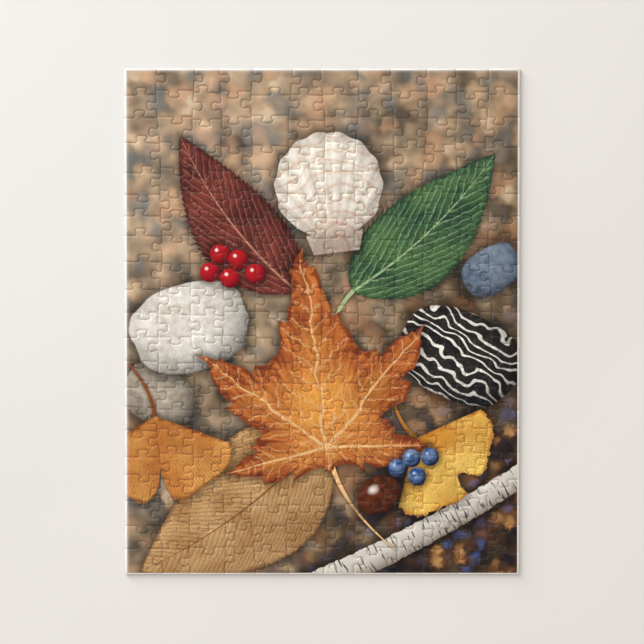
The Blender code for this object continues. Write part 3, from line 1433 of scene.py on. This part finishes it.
@dataclass(frozen=True)
class AutumnPicture:
    """The still life, from the ground up."""

    layers: Sequence[Any] = (
        Gravel(),
        Stone(middle=(-116, -52), angle=-28, half_length=27, half_width=20, dark="8a8074", light="c2b6a4"),
        Stone(middle=(-93, -4), angle=16, half_length=41, half_width=31, dark="cdc6ba", light="f6f2ea"),
        Stone(middle=(119, 36), angle=34, half_length=23, half_width=16, dark="4f5d72", light="8593a6"),
        Stone(
            middle=(97, -24),
            angle=-24,
            half_length=44,
            half_width=31,
            dark="15151a",
            light="35312f",
            band="efece4",
        ),
        BirchTwig(base=(-30, -196), angle=28, length=215, half_width=9.5),
        FeatherVeinedLeaf(
            base=(2, -78),
            angle=217,
            length=162,
            width=92,
            bend=-9,
            colors=TAN,
            veins=30,
            slope=0.22,
            teeth=0.02,
            quilting=0.22,
            stalk=10,
        ),
        FeatherVeinedLeaf(base=(22, 22), angle=44, length=138, width=66, bend=7, colors=GREEN),
        FeatherVeinedLeaf(
            base=(-18, 22), angle=127, length=136, width=62, bend=-8, colors=MAROON, vein_strength=0.4
        ),
        Shell(hinge=(10, 52), angle=97, radius=82),
        FanLeaf(base=(-118, -66), angle=-84, radius=62, colors=OCHRE, stalk=40),
        FanLeaf(base=(66, -82), angle=-40, radius=54, colors=GOLD, split=0.2, stalk_bend=-0.012),
        HandShapedLeaf(
            base=(4, -88),
            angle=98,
            colors=RUST,
            lobes=(Lobe(0, 142, 30), Lobe(47, 112, 25), Lobe(97, 74, 18)),
            palm=(34, 44),
            heart="e9a24c",
            stalk=78,
            stalk_bend=0.006,
            stalk_width=2.0,
            wither=5.0,
        ),
        Stone(
            middle=(40, -122),
            angle=20,
            half_length=15,
            half_width=13,
            dark="3a170c",
            light="7a3a1e",
            shine=0.85,
            squareness=2.2,
        ),
        Berries(
            middles=((-79, 35), (-72, 48), (-47, 34), (-59, 44), (-65, 31)),
            radius=7.0,
            dark="6d0a14",
            light="d8202c",
            shine="ffe9e4",
        ),
        Berries(
            middles=((53, -103), (76, -95), (63, -96), (67, -109)),
            radius=6.4,
            dark="0d1a3c",
            light="2f5fa8",
            shine="bcd6f2",
            bloom=0.7,
        ),
    )

    def paint(self, shader: Shader) -> Canvas:
        """Print the layers.

        Args:
            shader: The print's shader.

        Returns:
            The canvas with the finished picture.
        """
        canvas = Canvas(shader)
        for layer in self.layers:
            layer.paint(canvas)
        log.info("picture: %d layers, %d nodes", len(self.layers), len(shader.tree.nodes))
        return canvas


# ---------------------------------------------------------------- finishes


@dataclass(frozen=True)
class PrintFinish:
    """Printed paper under a satin laminate, with the bare white paper showing at the sheet's rim."""

    half_sheet: tuple[float, float]
    top: float
    side_rim: float = 1.45
    end_rim: float = 0.98
    paper: str = "eeebe6"
    gloss: float = 0.12
    roughness: float = 0.46
    bend_gloss: float = 0.6
    bend_roughness: float = 0.40
    roll: float = 0.45 * MM
    # the painted shade in the cuts: how strong it is, and the level of colour that it leaves as it is
    depth: float = 0.22
    white: float = 0.80
    # the painted highlight along the left and the upper edge: its width, its overshoot and its strength
    edge_highlight_width: float = 3.2
    edge_highlight_overshoot: float = 0.2
    edge_highlight_share: float = 0.27
    rim_blur: float = 0.06
    grain: float = 0.35
    grain_strength: float = 0.25
    grain_depth: float = 0.02 * MM
    unevenness: float = 0.06
    picture: AutumnPicture = AutumnPicture()

    def make(self) -> bpy.types.Material:
        """Build the material."""
        shader = Shader("printed_paper")
        canvas = self.picture.paint(shader)
        # Painted shade: where the paper rolls down into a cut, its colour is darkened, except on white.
        bend = canvas.axes["Z"].ramp(self.top / MM, (self.top - self.roll) / MM, smooth=False)
        squared = {0: canvas.color, 1: canvas.color}
        cut_shade_color = shader.node("ShaderNodeVectorMath", squared, operation="MULTIPLY")[0]
        cut_shade_color = shader.scaled(cut_shade_color, 1 / self.white)
        color = shader.mix(bend * self.depth, canvas.color, cut_shade_color)
        side, end = self.half_sheet[0] - self.side_rim, self.half_sheet[1] - self.end_rim
        # Painted highlight: the colour is lightened towards the left and the upper edge, which face the
        # light. The ink stops short of the rim.
        painted_edge_highlight = (canvas.x + side).least(end - canvas.y).ramp(self.edge_highlight_width, -self.edge_highlight_overshoot)
        color = shader.mix(painted_edge_highlight * painted_edge_highlight * self.edge_highlight_share, color, paint(self.paper))
        inside = (side - abs(canvas.x)).least(end - abs(canvas.y))
        bare = inside.ramp(self.rim_blur, -self.rim_blur)
        color = shader.mix(bare, color, paint(self.paper))
        grain = shader.noise(canvas.place, self.grain, detail=1.0)["Fac"]
        bump_in = {"Strength": self.grain_strength, "Distance": self.grain_depth, "Height": grain}
        bump = shader.node("ShaderNodeBump", bump_in)["Normal"]
        return shader.finish(
            Base_Color=color,
            Roughness=canvas.middle.times_plus(self.unevenness, self.roughness),
            Specular_IOR_Level=self.gloss,
            Coat_Weight=bend * self.bend_gloss,
            Coat_Roughness=self.bend_roughness,
            Normal=bump,
        )


@dataclass(frozen=True)
class BoardFinish:
    """Greyboard: pressed layers of pulp at the cut edges, speckled fibre on the back."""

    shoulder: float
    pulp_dark: str = "8c8377"
    pulp_light: str = "b7aea1"
    fleck: str = "5f564b"
    paper: str = "efece4"
    facing: float = 0.22 * MM
    flattening: tuple[float, float, float] = (0.6, 0.6, 9.0)
    layer_scale: float = 1.2
    fibre_scale: float = 2.2
    fleck_share: float = 0.6
    relief: float = 0.6
    relief_depth: float = 0.05 * MM

    def make(self) -> bpy.types.Material:
        """Build the material."""
        shader = Shader("greyboard")
        metres = shader.node("ShaderNodeTexCoord")["Object"]
        place = shader.scaled(metres, 1 / MM)
        height = shader.node("ShaderNodeSeparateXYZ", {"Vector": place})["Z"]
        flattened = {"Vector": place, "Scale": self.flattening}
        layers_in = {
            "Vector": shader.node("ShaderNodeMapping", flattened)[0],
            "Scale": self.layer_scale,
            "Detail": 4.0,
        }
        layers = shader.node("ShaderNodeTexNoise", layers_in)
        fibres_in = {"Vector": place, "Scale": self.fibre_scale, "Detail": 5.0}
        fibres = shader.node("ShaderNodeTexNoise", fibres_in)
        tone = layers["Fac"].times_plus(0.5, fibres["Fac"] * 0.5).ramp(0.38, 0.62)
        color = shader.mix(tone, paint(self.pulp_dark), paint(self.pulp_light))
        flecks = fibres["Fac"].ramp(0.64, 0.70)
        color = shader.mix(flecks * self.fleck_share, color, paint(self.fleck))
        pulp_top = (self.shoulder - self.facing) / MM
        color = shader.mix(height.ramp(pulp_top, pulp_top + 0.03), color, paint(self.paper))
        bump_in = {"Strength": self.relief, "Distance": self.relief_depth, "Height": tone}
        bump = shader.node("ShaderNodeBump", bump_in)["Normal"]
        return shader.finish(Base_Color=color, Roughness=tone.times_plus(0.1, 0.8), Normal=bump)


@dataclass(frozen=True)
class TableFinish:
    """A smooth, pale, matt table top, with painted cooler light on its side towards the lamps."""

    light: str = "f1efed"
    dark: str = "eceae7"
    lamp_side_tint: str = "ededeb"
    reach: float = 0.5
    cloud_scale: float = 3.0
    gloss: float = 0.05
    roughness: float = 0.9

    def make(self) -> bpy.types.Material:
        """Build the material."""
        shader = Shader("pale_table")
        metres = shader.node("ShaderNodeTexCoord")["Object"]
        cloud_in = {"Vector": metres, "Scale": self.cloud_scale, "Detail": 2.0}
        cloud = shader.node("ShaderNodeTexNoise", cloud_in)["Fac"]
        color = shader.mix(cloud.ramp(0.3, 0.7), paint(self.dark), paint(self.light))
        axes = shader.node("ShaderNodeSeparateXYZ", {"Vector": metres})
        # Painted light: the table's side towards the lamps is tinted cooler.
        lit = (axes["Y"] - axes["X"]).ramp(0.0, self.reach)
        color = shader.mix(lit, color, paint(self.lamp_side_tint))
        return shader.finish(Base_Color=color, Roughness=self.roughness, Specular_IOR_Level=self.gloss)


# ---------------------------------------------------------------- the studio


@dataclass(frozen=True)
class Lamp:
    """A square soft lamp, aimed at the sheet."""

    name: str
    place: tuple[float, float, float]
    size: float
    power: float
    color: str = "fafdff"

    def hang(self) -> None:
        """Add the lamp to the scene."""
        light = bpy.data.lights.new(self.name, "AREA")
        light.size = self.size
        light.energy = self.power
        light.color = paint(self.color)
        lamp = bpy.data.objects.new(self.name, light)
        lamp.location = self.place
        lamp.rotation_euler = Vector(self.place).to_track_quat("Z", "Y").to_euler()
        bpy.context.scene.collection.objects.link(lamp)


@dataclass
class Studio:
    """The table, the light and the camera, almost straight above."""

    board_top: float
    table_size: float = 8.0
    table_drop: float = 0.01 * MM
    view_width: float = 0.4535
    lean: float = 0.9
    aim: tuple[float, float] = (-0.1 * MM, 0.05 * MM)
    lens: float = 100.0
    sensor: float = 36.0
    clip_end: float = 50.0
    sky: float = 0.61
    sky_color: str = "fff8f1"
    lamps: Sequence[Lamp] = (
        Lamp(name="key", place=(-1.9, 2.1, 1.75), size=2.4, power=42.0),
        Lamp(name="low", place=(-1.95, 2.15, 0.65), size=1.3, power=72.0),
        Lamp(name="grazing", place=(-2.0, 2.2, 0.34), size=0.66, power=28.0),
    )

    def build(self) -> None:
        """Set up everything that isn't the puzzle."""
        self.add_table()
        self.add_light()
        self.add_camera()
        bpy.context.scene.view_settings.view_transform = "Standard"

    def add_table(self) -> None:
        """Lay the table top under the board."""
        bpy.ops.object.select_all(action="DESELECT")
        bpy.ops.mesh.primitive_plane_add(size=self.table_size, location=(0, 0, -self.table_drop))
        table = bpy.context.object
        table.name = "table_top"
        bpy.ops.object.transform_apply(location=True)
        table.data.materials.append(TableFinish().make())

    def add_light(self) -> None:
        """Light the table softly all over, and more strongly from the upper left."""
        world = bpy.data.worlds.new("studio")
        world.use_nodes = True
        background = world.node_tree.nodes["Background"]
        background.inputs["Color"].default_value = (*paint(self.sky_color), 1.0)
        background.inputs["Strength"].default_value = self.sky
        bpy.context.scene.world = world
        for lamp in self.lamps:
            lamp.hang()

    def add_camera(self) -> None:
        """Look down on the sheet, from a touch above its middle."""
        camera = bpy.data.cameras.new("camera")
        camera.lens = self.lens
        camera.sensor_width = self.sensor
        camera.clip_end = self.clip_end
        above = bpy.data.objects.new("camera", camera)
        lean = math.radians(self.lean)
        across, up = self.aim
        distance = self.view_width * self.lens / self.sensor
        height = self.board_top + distance * math.cos(lean)
        above.location = (across, up + distance * math.sin(lean), height)
        above.rotation_euler.x = -lean
        bpy.context.scene.collection.objects.link(above)
        bpy.context.scene.camera = above


def main() -> None:
    """Build the puzzle and the studio round it."""
    logging.basicConfig(level=logging.INFO, format="%(name)s: %(message)s")
    Puzzle().build()
    Studio(board_top=CAD_BOX[1][2]).build()


if __name__ == "__main__":
    main()
